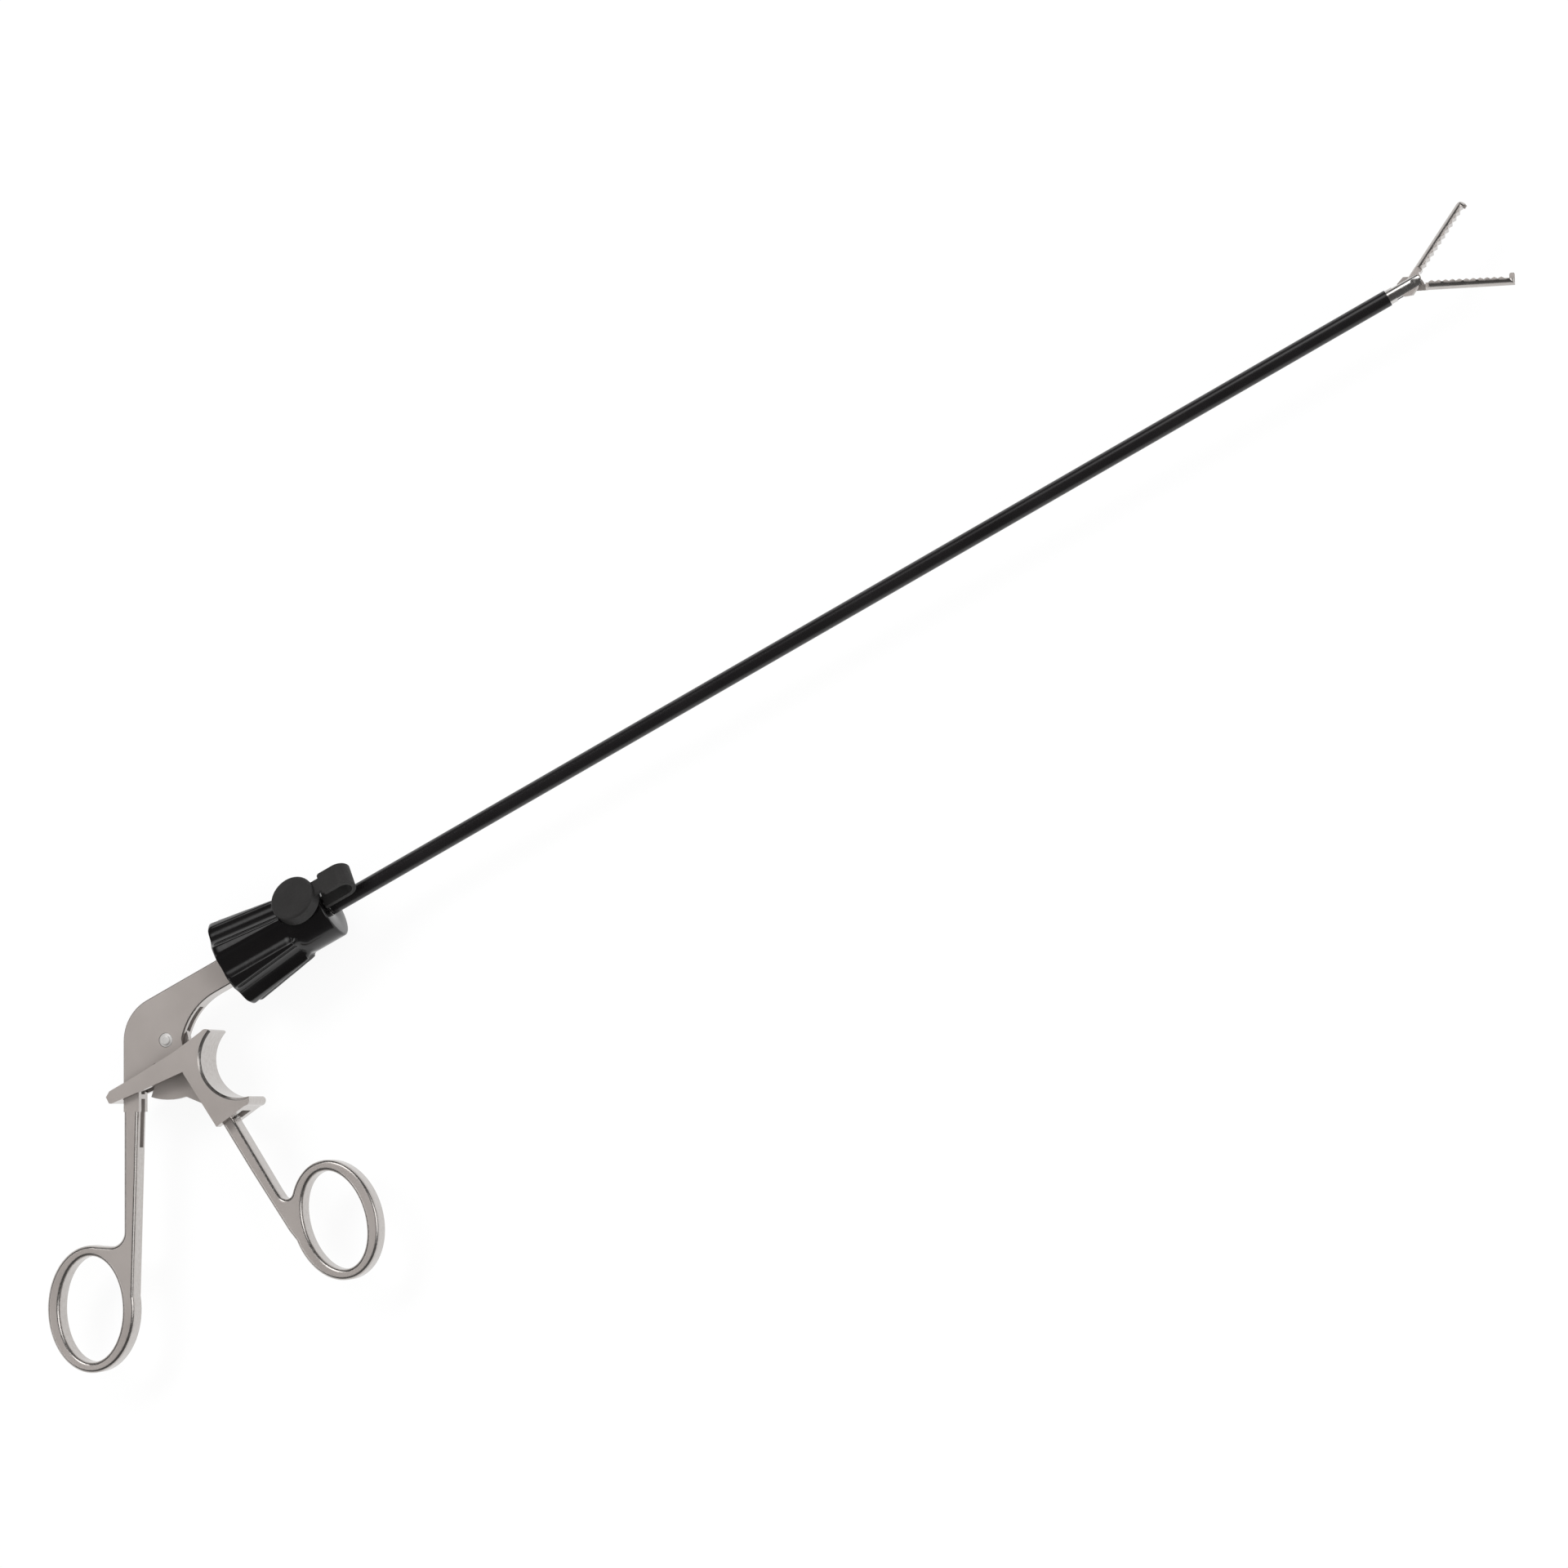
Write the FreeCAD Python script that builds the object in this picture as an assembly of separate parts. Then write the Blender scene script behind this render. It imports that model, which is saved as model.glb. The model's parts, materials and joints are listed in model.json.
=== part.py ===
"""A reusable 5 mm laparoscopic grasper, built as separate pieces.

Units are millimetres. X runs along the shaft towards the jaws, Y points away from the finger
rings, Z is square to the flat handle. The origin is on the shaft's axis at the knob's front face.
The pieces stand as in the photograph: handle and jaws fully open.
"""
import FreeCAD, Part

import math
import os

Vector = FreeCAD.Vector

# Driving sizes of the handle
PIVOT_X = -65.8
PIVOT_Y = -11.1
HUB_R = 14.1
BODY_HALF = 3.5
HANDLE_CLOSE_DEG = 25.0
BALL_ARM = -PIVOT_Y
ARM_FRONT_X = -37.6
ARM_BOTTOM_Y = -5.8
CONCAVE_R = 20.5
CONCAVE_X = -45.0
BACK_EDGE_DEG = 242.6
SHANK_WIDTH = 5.2
SHANK_FOOT_WIDTH = 4.2
SHANK_LENGTH = 47.0

# Slots in the rear handle and the plate that runs in them
PLATE_HALF = 1.3
SLOT_HALF = 1.45
HORN_HALF = 2.5
CHAMBER_HALF = 2.65
SECTOR_R = 18.4
SECTOR_REAR_DEG = 224.5
SECTOR_FRONT_DEG = 262.0

# Finger rings
REAR_RING_X = -126.0
REAR_RING_Y = -73.0
REAR_HOLE_A = 16.3
REAR_HOLE_B = 10.3
RING_SIDE = 4.2
RING_END = 3.3
RING_HALF = 3.5
GRIP_ROUND = 1.3
REAR_CROTCH_R = 4.5
FRONT_CROTCH_R = 2.0
REAR_RING_DEG = 64.0
FRONT_RING_X = -42.9
FRONT_RING_Y = -85.9
FRONT_HOLE_A = 15.4
FRONT_HOLE_B = 9.6
FRONT_RING_DEG = 80.0

# Handle pivot
PIVOT_R = 2.2
PIVOT_HEAD_R = 1.45
PIVOT_HEAD_H = 0.7
FIT = 0.03

# Ratchet
RATCHET_R = 8.0
TOOTH_DEPTH = 0.6
TOOTH_PITCH_DEG = 5.0
TOOTH_FIRST_DEG = 222.5
TOOTH_COUNT = 7
PAWL_TEETH = 2
RIB_IN = 1.6
LEVER_X = -60.2
LEVER_Y = -20.5
LEVER_PIN_R = 1.0
LEVER_BOSS_R = 1.7
LEVER_TRAVEL_DEG = 5.0
CHANNEL_HALF = 3.7
SADDLE_HALF = 7.2
BAR_HALF = 5.6

SPRING_SCREW_Y = -41.85
SPRING_HEAD_R = 1.15
SPRING_SEAT_X = -57.15
SPRING_THICK = 0.35

# Neck, knob and its core
NECK_SHANK_R = 2.3
NECK_SHANK_END_X = -50.0
NECK_COLLAR_R = 3.9
NECK_R = 3.0
NECK_FLANGE_R = 4.8
NECK_FLANGE_BACK_X = -24.0
NECK_FRONT_X = -18.0
KNOB_BACK_X = -36.5
FLUTE_FRONT_X = -13.5
NOSE_BACK_X = -12.0
NOSE_FRONT_X = -0.15
KNOB_BACK_R = 15.0
FLUTE_FRONT_R = 11.4
NOSE_R = 9.7
FLUTES = 8
FLUTE_R = 5.5
FLUTE_DEPTH = 2.2
FLUTE_PHASE_DEG = 10.5
RIM_ROUND = 1.8
CORE_R = 6.2
CORE_BACK_X = -34.5
CORE_FRONT_X = -2.0

# Flush port, seen from the front turned towards +Y from +Z
PORT_X = -6.5
PORT_TILT_DEG = 25.0
PORT_SEAT_R = 9.2
CAP_R = 7.3
STRAP_WIDTH = 7.6
STRAP_NECK = 4.6
STRAP_WIDE_X = 3.0
STRAP_FOLD_X = 8.6
STRAP_THICK = 1.3
CAP_HEIGHT = 4.5

# Shaft
SHAFT_R = 2.5
INSULATION_THICK = 0.4
TUBE_WALL = 0.6
TUBE_BACK_X = -14.0
SLEEVE_BACK_X = 0.0
SLEEVE_END_X = 369.0
ROD_R = 0.9
BALL_R = 1.9

# Jaws and the fork that carries them
JAW_PIVOT_X = 377.4
JAW_LENGTH = 29.3
JAW_OPEN_DEG = 28.0
TIP_R = 2.25
BLADE_END_R = 2.05
BLADE_HUB_LENGTH = 4.6
TAIL_IN = 0.65
TAIL_OUT = 1.45
ARM_IN = 1.5
STUD_R = 0.75
DRIVE_ARM = 3.4
DRIVE_PEG_R = 0.38
CAM_HALF = 0.6
CAM_FLOOR_HALF = 0.15
CAM_TRACK_HALF = 0.42
TRACK_STEPS = 8
TOOTH_RISE = 0.5
TOOTH_STEP = 2.0
CLEVIS_BACK_X = 358.0

# Worked out from the sizes above
BALL_X = PIVOT_X - BALL_ARM * math.tan(math.radians(HANDLE_CLOSE_DEG / 2))
STROKE = 2 * BALL_ARM * math.tan(math.radians(HANDLE_CLOSE_DEG / 2))
ROD_FRONT_X = JAW_PIVOT_X - 9.1
UPPER_LENGTH = JAW_LENGTH - 1.75
BITE_END = UPPER_LENGTH - 2.05
TUBE_OUTER_R = SHAFT_R - INSULATION_THICK
TUBE_INNER_R = TUBE_OUTER_R - TUBE_WALL
CAP_BASE_R = PORT_SEAT_R + 0.7
CAP_TOP_R = CAP_BASE_R + CAP_HEIGHT
X_AXIS = Vector(1, 0, 0)
Y_AXIS = Vector(0, 1, 0)
Z_AXIS = Vector(0, 0, 1)
PIVOT = Vector(PIVOT_X, PIVOT_Y, 0)
LEVER = Vector(LEVER_X, LEVER_Y, 0)
JAW_PIVOT = Vector(JAW_PIVOT_X, 0, 0)
SPIGOT_PIN = Vector(-45.0, -3.3, 0)
SPIGOT_PIN_END = NECK_SHANK_R + 0.3


def polar(centre, radius, degrees, z=0.0):
    """A point at a radius and an angle from a centre, in the plane of the handle."""
    a = math.radians(degrees)
    return Vector(centre.x + radius * math.cos(a), centre.y + radius * math.sin(a), z)


def slab(points, z0, z1):
    """A plate between two heights with straight edges through the points."""
    ring = [Vector(x, y, z0) for x, y in points]
    wire = Part.makePolygon(ring + ring[:1])
    return Part.Face(wire).extrude(Vector(0, 0, z1 - z0))


def outline_slab(edges, z0, z1):
    """A plate between two heights from a closed chain of edges drawn at z = 0."""
    wire = Part.Wire(Part.__sortEdges__(edges))
    face = Part.Face(wire)
    face.translate(Vector(0, 0, z0))
    return face.extrude(Vector(0, 0, z1 - z0))


def line(a, b):
    return Part.LineSegment(a, b).toShape()


def arc(a, middle, b):
    return Part.Arc(a, middle, b).toShape()


def disc(centre, radius, z0, z1):
    """A round plate square to the handle's plane."""
    return Part.makeCylinder(radius, z1 - z0, Vector(centre.x, centre.y, z0), Z_AXIS)


def bar_x(radius, x0, x1):
    """A round bar on the shaft's axis."""
    return Part.makeCylinder(radius, x1 - x0, Vector(x0, 0, 0), X_AXIS)


def box(x0, x1, y0, y1, z0, z1):
    return Part.makeBox(x1 - x0, y1 - y0, z1 - z0, Vector(x0, y0, z0))


def turn(shape, centre, degrees):
    """The shape turned about an axis through centre, square to the handle."""
    copy = shape.copy()
    copy.rotate(centre, Z_AXIS, degrees)
    return copy


def round_edges(shape, radius, keep):
    """Fillets the edges that the test picks."""
    edges = [edge for edge in shape.Edges if keep(edge)]
    return shape.makeFillet(radius, edges)


def on_face(edge, half):
    """True for an edge that lies in one of the two outer faces at z = +-half."""
    heights = [abs(v.Z) for v in edge.Vertexes]
    return all(abs(z - half) < 1e-4 for z in heights) and abs(edge.BoundBox.ZLength) < 1e-4


def save(name, shape):
    shape = shape.removeSplitter()
    shape.exportStep("parts/%s.step" % name)
    solids = len(shape.Solids)
    volume = round(shape.Volume, 1)
    print(name, "solids", solids, "volume", volume, "valid", shape.isValid())


def ring_disc(x, y, semi_a, semi_b, degrees, z0, z1):
    """An elliptical plate with its long half axis turned to the angle."""
    ellipse = Part.Ellipse(Vector(0, 0, z0), semi_a, semi_b).toShape()
    solid = Part.Face(Part.Wire([ellipse])).extrude(Vector(0, 0, z1 - z0))
    solid.rotate(Vector(0, 0, 0), Z_AXIS, degrees)
    solid.translate(Vector(x, y, 0))
    return solid


def shank_and_ring(shank, x, y, hole_a, hole_b, degrees, crotch, crotch_r, soft):
    """One finger ring grown out of its shank, every outer edge rounded for the hand."""
    outer = ring_disc(x, y, hole_a + RING_END, hole_b + RING_SIDE, degrees, -RING_HALF, RING_HALF)
    body = outer.fuse(shank).removeSplitter()
    upright = [edge for edge in body.Edges if edge.BoundBox.ZLength > RING_HALF]
    corner = min(upright, key=lambda edge: (edge.CenterOfMass - crotch).Length)
    body = body.makeFillet(crotch_r, [corner])
    body = body.cut(ring_disc(x, y, hole_a, hole_b, degrees, -RING_HALF, RING_HALF))
    return round_edges(body, soft, lambda edge: on_face(edge, RING_HALF))


def rear_handle():
    """The fixed handle: two cheeks round the pivot, the arm to the knob, shank and thumb ring."""
    top_y = PIVOT_Y + HUB_R
    back = BACK_EDGE_DEG - 90
    hub_back = polar(PIVOT, HUB_R, back)
    along = Vector(math.cos(math.radians(BACK_EDGE_DEG)), math.sin(math.radians(BACK_EDGE_DEG)), 0)
    inward = Vector(-along.y, along.x, 0)
    concave = Vector(CONCAVE_X, ARM_BOTTOM_Y - CONCAVE_R, 0)
    concave_end = polar(concave, CONCAVE_R, 143.0)
    rack_start = polar(PIVOT, RATCHET_R, 292.0)
    rack_end = polar(PIVOT, RATCHET_R, 215.0)
    foot_back = hub_back + along * 22.0
    foot_front = foot_back + inward * SHANK_WIDTH
    knee = hub_back + along * 12.5 + inward * SHANK_WIDTH
    edges = [
        line(Vector(ARM_FRONT_X, top_y, 0), Vector(PIVOT_X, top_y, 0)),
        arc(Vector(PIVOT_X, top_y, 0), polar(PIVOT, HUB_R, (90 + back) / 2), hub_back),
        line(hub_back, foot_back),
        line(foot_back, foot_front),
        line(foot_front, knee),
        line(knee, rack_end),
        arc(rack_end, polar(PIVOT, RATCHET_R, 253.0), rack_start),
        line(rack_start, concave_end),
        arc(concave_end, polar(concave, CONCAVE_R, 116.0), Vector(CONCAVE_X, ARM_BOTTOM_Y, 0)),
        line(Vector(CONCAVE_X, ARM_BOTTOM_Y, 0), Vector(ARM_FRONT_X, ARM_BOTTOM_Y, 0)),
        line(Vector(ARM_FRONT_X, ARM_BOTTOM_Y, 0), Vector(ARM_FRONT_X, top_y, 0)),
    ]
    body = outline_slab(edges, -BODY_HALF, BODY_HALF)
    chain = (Vector(-53, top_y, 0), polar(PIVOT, HUB_R, (90 + back) / 2), hub_back + along * 11.0,
             polar(concave, CONCAVE_R, 116.0))
    body = round_edges(body, 0.5, lambda edge: on_face(edge, BODY_HALF) and any(
        edge.distToShape(Part.Vertex(p.x, p.y, edge.CenterOfMass.z))[0] < 0.3 for p in chain))

    shank_top = hub_back + along * 14.0
    ring_top = polar(Vector(REAR_RING_X, REAR_RING_Y, 0), REAR_HOLE_A + RING_END - 0.05, REAR_RING_DEG)
    crotch = hub_back + along * 63.8
    shank_points = [
        shank_top,
        shank_top + inward * SHANK_WIDTH,
        hub_back + along * 80.0 + inward * 3.3,
        ring_top,
        crotch,
    ]
    shank = slab([(p.x, p.y) for p in shank_points], -RING_HALF, RING_HALF)
    grip = shank_and_ring(
        shank, REAR_RING_X, REAR_RING_Y, REAR_HOLE_A, REAR_HOLE_B, REAR_RING_DEG,
        crotch, REAR_CROTCH_R, GRIP_ROUND
    )
    handle = body.fuse(grip)

    # The slot for the front handle's plate, and the wider chamber round its horn
    slot = disc(PIVOT, HUB_R - 1.9, -SLOT_HALF, SLOT_HALF)
    front = slab([(PIVOT_X, 6), (-56.5, 6), (-51.0, -9.0), (-55.0, -30.0), (PIVOT_X, -30.0)],
                 -SLOT_HALF, SLOT_HALF)
    sector = disc(PIVOT, SECTOR_R + 0.4, -SLOT_HALF, SLOT_HALF)
    wedge = slab([(p.x, p.y) for p in (
        PIVOT, polar(PIVOT, 40, 197.5), polar(PIVOT, 40, 240), polar(PIVOT, 40, 285))],
        -SLOT_HALF, SLOT_HALF)
    chamber = slab([(-74.5, 6), (-56.5, 6), (-56.5, -4.0), (-60.0, -8.1), (-71.6, -8.1), (-74.5, -4.0)],
                   -CHAMBER_HALF, CHAMBER_HALF)
    gutter_back = hub_back + along * 18.0 + inward * 1.7
    gutter_end = hub_back + along * 33.0 + inward * (1.7 + SLOT_HALF)
    gutter = slab([(p.x, p.y) for p in (
        gutter_back, gutter_end + inward * -SLOT_HALF, gutter_end + inward * 8, gutter_back + inward * 14)],
        -SLOT_HALF, SLOT_HALF)
    gutter = gutter.fuse(disc(gutter_end, SLOT_HALF, -SLOT_HALF, SLOT_HALF))
    for cutter in (slot, front, sector.common(wedge), chamber, gutter):
        handle = handle.cut(cutter)

    # Pivot bore, rod way, and the neck's socket with its cross pin
    handle = handle.cut(disc(PIVOT, PIVOT_R + FIT, -BODY_HALF, BODY_HALF))
    handle = handle.cut(bar_x(ROD_R + 0.4, -58.0, ARM_FRONT_X))
    handle = handle.cut(bar_x(NECK_SHANK_R, NECK_SHANK_END_X, ARM_FRONT_X))
    handle = handle.cut(disc(SPIGOT_PIN, 0.75, -BODY_HALF, SPIGOT_PIN_END))

    # The ratchet's notches in both cheeks
    for k in range(TOOTH_COUNT):
        handle = handle.cut(tooth(TOOTH_FIRST_DEG + k * TOOTH_PITCH_DEG, 0.0, RATCHET_R + 0.6))
    return handle


def tooth(degrees, slack, outer_r):
    """A ratchet tooth's shape: a wedge with its point towards the pivot."""
    half = TOOTH_PITCH_DEG / 2 - slack
    tip_r = RATCHET_R - TOOTH_DEPTH + slack * 0.12
    points = [
        polar(PIVOT, outer_r, degrees - half),
        polar(PIVOT, RATCHET_R, degrees - half),
        polar(PIVOT, tip_r, degrees + half * 0.55),
        polar(PIVOT, RATCHET_R, degrees + half),
        polar(PIVOT, outer_r, degrees + half),
    ]
    return slab([(p.x, p.y) for p in points], -CHANNEL_HALF - 0.2, CHANNEL_HALF + 0.2)


def pivot_screw():
    """Pivot with a low head on the near cheek and a threaded end on the far one."""
    shaft = disc(PIVOT, PIVOT_R, -BODY_HALF + 0.9, BODY_HALF)
    dome = disc(PIVOT, PIVOT_HEAD_R, BODY_HALF, BODY_HALF + PIVOT_HEAD_H)
    dome = round_edges(dome, 0.4, lambda edge: on_face(edge, BODY_HALF + PIVOT_HEAD_H))
    stem = disc(PIVOT, 1.2, -BODY_HALF + 0.2, -BODY_HALF + 0.9)
    return shaft.fuse(dome).fuse(stem)


def pivot_nut():
    """Slotted cap that closes the pivot, flush in the far cheek."""
    cap = disc(PIVOT, PIVOT_R, -BODY_HALF, -BODY_HALF + 0.9)
    cap = cap.cut(disc(PIVOT, 1.2, -BODY_HALF + 0.2, -BODY_HALF + 0.9))
    return cap.cut(box(PIVOT_X - 3, PIVOT_X + 3, PIVOT_Y - 0.3, PIVOT_Y + 0.3,
                       -BODY_HALF - 1, -BODY_HALF + 0.15))


def front_handle():
    """The moving handle: horn for the rod's ball, plate between the cheeks, shank and ring."""
    lean = HANDLE_CLOSE_DEG / 2
    hub = disc(PIVOT, 6.6, -PLATE_HALF, PLATE_HALF)
    rear = polar(PIVOT, SECTOR_R, SECTOR_REAR_DEG)
    sector = outline_slab([
        line(PIVOT, rear),
        arc(rear, polar(PIVOT, SECTOR_R, (SECTOR_REAR_DEG + SECTOR_FRONT_DEG) / 2),
            polar(PIVOT, SECTOR_R, SECTOR_FRONT_DEG)),
        line(polar(PIVOT, SECTOR_R, SECTOR_FRONT_DEG), PIVOT),
    ], -PLATE_HALF, PLATE_HALF)
    plate = slab([(-69.0, -11.1), (-69.0, -29.0), (-65.3, -33.4), (-62.0, -42.0), (-59.5, -42.0),
                  (-61.8, -31.0), (-61.5, -26.5), (-59.0, -22.3), (-59.0, -18.6), (-60.4, -11.1)],
                 -PLATE_HALF, PLATE_HALF)
    boss = disc(LEVER, LEVER_BOSS_R, -CHANNEL_HALF + 0.1, CHANNEL_HALF - 0.1)

    # The horn leans back by half of the closing travel; the rod's ball sits in its slot
    horn = slab([(-4.2, 4.5), (4.2, 4.5), (4.2, 13.2), (-4.2, 13.2)], -HORN_HALF, HORN_HALF)
    horn = horn.common(disc(Vector(0, 0, 0), 13.5, -HORN_HALF, HORN_HALF))
    ball_slot = box(-BALL_R - 0.05, BALL_R + 0.05, BALL_ARM - 3.0, 14.0, -HORN_HALF, HORN_HALF)
    rod_slit = box(BALL_R, 5.0, BALL_ARM - 2.6, 14.0, -ROD_R - 0.25, ROD_R + 0.25)
    horn = horn.cut(ball_slot).cut(rod_slit)
    horn = turn(horn, Vector(0, 0, 0), lean)
    horn.translate(PIVOT)
    handle = hub.fuse(sector).fuse(plate).fuse(boss).fuse(horn)

    shank = slab([(-62.0, -38.0), (-57.4, -38.0), (-57.2, -44.5), (-55.2, -69.0), (-54.0, -78.0),
                  (-50.0, -84.0), (-55.0, -94.0), (-57.6, -82.0), (-60.0, -60.0)],
                 -RING_HALF, RING_HALF)
    crotch = Vector(-54.1, -76.2, 0)
    grip = shank_and_ring(
        shank, FRONT_RING_X, FRONT_RING_Y, FRONT_HOLE_A, FRONT_HOLE_B, FRONT_RING_DEG,
        crotch, FRONT_CROTCH_R, GRIP_ROUND
    )
    handle = handle.fuse(grip)
    handle = handle.cut(disc(PIVOT, PIVOT_R + FIT, -HORN_HALF, HORN_HALF))
    handle = handle.cut(disc(LEVER, LEVER_PIN_R + FIT, -CHANNEL_HALF, CHANNEL_HALF))
    return handle.cut(spring_bolt(0.7, -60.5, -56.0))


def spring_bolt(radius, x0, x1):
    """A bar along X at the height of the lever spring's screw."""
    return Part.makeCylinder(radius, x1 - x0, Vector(x0, SPRING_SCREW_Y, 0), X_AXIS)


def ratchet_lever():
    """Crescent finger rest, open at the back, with a bar each side that joins behind the shank."""
    lever = saddle_outline(SADDLE_HALF).fuse(bar_loop())
    # The channel that takes the front handle, and the way for its shank
    channel = slab([(-92.0, -13.0), (-60.0, -13.0), (-58.2, -17.0), (-58.2, -22.3), (-60.5, -27.0),
                    (-60.5, -31.0), (-56.6, -36.4), (-53.6, -38.6), (-53.6, -48.0), (-70.0, -48.0)],
                   -CHANNEL_HALF, CHANNEL_HALF)
    back_wall = box(-92.0, -86.9, -22.0, -14.0, -CHANNEL_HALF, CHANNEL_HALF)
    lever = lever.cut(channel.cut(back_wall))
    # Both bars carry teeth inside, drawn engaged and turned to the released rest pose
    for k in range(PAWL_TEETH):
        degrees = TOOTH_FIRST_DEG + (TOOTH_COUNT - 1 - k) * TOOTH_PITCH_DEG
        pawl = tooth(degrees, 0.12, RATCHET_R + 2.2)
        pawl = turn(pawl, LEVER, LEVER_TRAVEL_DEG)
        for side in (-1, 1):
            near, far = sorted((side * RIB_IN, side * (CHANNEL_HALF + 0.2)))
            lever = lever.fuse(pawl.common(box(-90, -50, -30, -10, near, far)))
    # Pin bore, blind on the near side
    return lever.cut(disc(LEVER, LEVER_PIN_R, -SADDLE_HALF, 5.6))


def saddle_outline(half):
    """The crescent seen from the side: a deep finger hollow between two horns."""
    hollow_top = Vector(-50.6, -16.4, 0)
    hollow_mid = Vector(-58.6, -28.6, 0)
    hollow_low = Vector(-48.9, -39.9, 0)
    edges = [
        line(Vector(-64.2, -16.4, 0), Vector(-53.2, -15.0, 0)),
        arc(Vector(-53.2, -15.0, 0), Vector(-51.3, -15.2, 0), hollow_top),
        arc(hollow_top, hollow_mid, hollow_low),
        arc(hollow_low, Vector(-49.0, -41.2, 0), Vector(-51.2, -42.0, 0)),
        line(Vector(-51.2, -42.0, 0), Vector(-62.2, -43.4, 0)),
        line(Vector(-62.2, -43.4, 0), Vector(-64.2, -24.0, 0)),
        line(Vector(-64.2, -24.0, 0), Vector(-64.2, -16.4, 0)),
    ]
    body = outline_slab(edges, -half, half)
    rims = [e for e in body.Edges if on_face(e, half) and e.Length > 20 and e.CenterOfMass.x > -58.0]
    return body.makeChamfer(0.8, rims)


def bar_loop():
    """The flat loop round the rear shank, narrower towards the back."""
    top = [(-63.0, -16.4), (-88.8, -16.7), (-90.6, -17.8), (-90.6, -20.0), (-90.0, -20.4), (-63.0, -23.3)]
    loop = slab(top, -SADDLE_HALF, SADDLE_HALF)
    half_plan = [(-62.0, SADDLE_HALF), (-64.2, SADDLE_HALF), (-78.0, BAR_HALF), (-91.0, BAR_HALF)]
    plan = [Vector(x, -30, -z) for x, z in half_plan] + [Vector(x, -30, z) for x, z in half_plan[::-1]]
    footprint = Part.Face(Part.makePolygon(plan + plan[:1])).extrude(Vector(0, 20, 0))
    return loop.common(footprint)


def lever_pin():
    """The ratchet lever's pin, pushed in from the far side."""
    return disc(LEVER, LEVER_PIN_R, -SADDLE_HALF + 0.05, 5.5)


def neck_spigot():
    """Turned journal pinned in the rear handle; the knob turns on it."""
    neck = bar_x(NECK_SHANK_R, NECK_SHANK_END_X, ARM_FRONT_X)
    neck = neck.fuse(bar_x(NECK_COLLAR_R, ARM_FRONT_X, KNOB_BACK_X - 0.4))
    neck = neck.fuse(bar_x(NECK_R, KNOB_BACK_X - 0.4, NECK_FLANGE_BACK_X))
    neck = neck.fuse(bar_x(NECK_FLANGE_R, NECK_FLANGE_BACK_X, NECK_FRONT_X))
    groove = bar_x(NECK_FLANGE_R, -21.6, -20.2).cut(bar_x(NECK_FLANGE_R - 1.0, -21.6, -20.2))
    neck = neck.cut(groove)
    neck = neck.cut(bar_x(ROD_R + 0.3, NECK_SHANK_END_X, NECK_FRONT_X))
    neck = neck.cut(bar_x(2.3, -20.0 + 0.6, NECK_FRONT_X))
    return neck.cut(disc(SPIGOT_PIN, 0.75, -BODY_HALF, BODY_HALF))


def spigot_pin():
    """Cross pin that locks the neck in the handle's arm, driven in from the far side."""
    return disc(SPIGOT_PIN, 0.75, -BODY_HALF + 0.1, SPIGOT_PIN_END - 0.1)


def neck_seal():
    """O-ring in the neck's flange, sealing against the core."""
    ring = Part.makeTorus(NECK_FLANGE_R - 0.45, 0.5, Vector(-20.9, 0, 0), X_AXIS)
    return ring.common(bar_x(NECK_FLANGE_R, -22.0, -20.0))


def rod_seal():
    """Lip seal round the drive rod in the neck's front."""
    seal = bar_x(2.3, -19.4, NECK_FRONT_X - 0.1)
    return seal.cut(bar_x(ROD_R + 0.02, -20.0, NECK_FRONT_X))


def knob_core():
    """Metal core of the knob: runs on the neck behind and holds the shaft tube in front."""
    core = bar_x(CORE_R, CORE_BACK_X, CORE_FRONT_X)
    core = core.cut(bar_x(CORE_R - 0.9, CORE_BACK_X, -28.0))
    core = core.cut(bar_x(NECK_FLANGE_R + FIT, -28.0, NECK_FRONT_X + 0.2))
    core = core.cut(bar_x(ROD_R + 0.4, NECK_FRONT_X, TUBE_BACK_X))
    core = core.cut(bar_x(TUBE_OUTER_R, TUBE_BACK_X, CORE_FRONT_X))
    core = core.cut(port_bar(2.0, 0.0, CORE_R + 1))
    for angle in (90, 270):
        core = core.cut(screw_hole(angle, 1.0, TUBE_OUTER_R, CORE_R + 1))
    return core


def screw_hole(angle, radius, r0, r1):
    """A radial bar at the place of one of the core's screws."""
    solid = Part.makeCylinder(radius, r1 - r0, Vector(-11.0, 0, r0), Z_AXIS)
    solid.rotate(Vector(0, 0, 0), X_AXIS, angle + PORT_TILT_DEG)
    return solid


def core_screws():
    """Two grub screws that hold the shaft tube in the core."""
    screws = [screw_hole(angle, 1.0, TUBE_OUTER_R, CORE_R - 0.1) for angle in (90, 270)]
    return Part.makeCompound(screws)


def knob_ring_nut():
    """Ring nut in the core's back that traps the neck's flange."""
    return bar_x(CORE_R - 0.9, CORE_BACK_X + 0.4, -28.1).cut(bar_x(NECK_R + 0.15, CORE_BACK_X, -28.0))


def friction_washer():
    """Washer between the ring nut and the flange that makes the knob turn stiffly."""
    return bar_x(4.4, -27.9, NECK_FLANGE_BACK_X - 0.1).cut(bar_x(NECK_R + 0.1, -28.0, -24.0))


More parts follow.
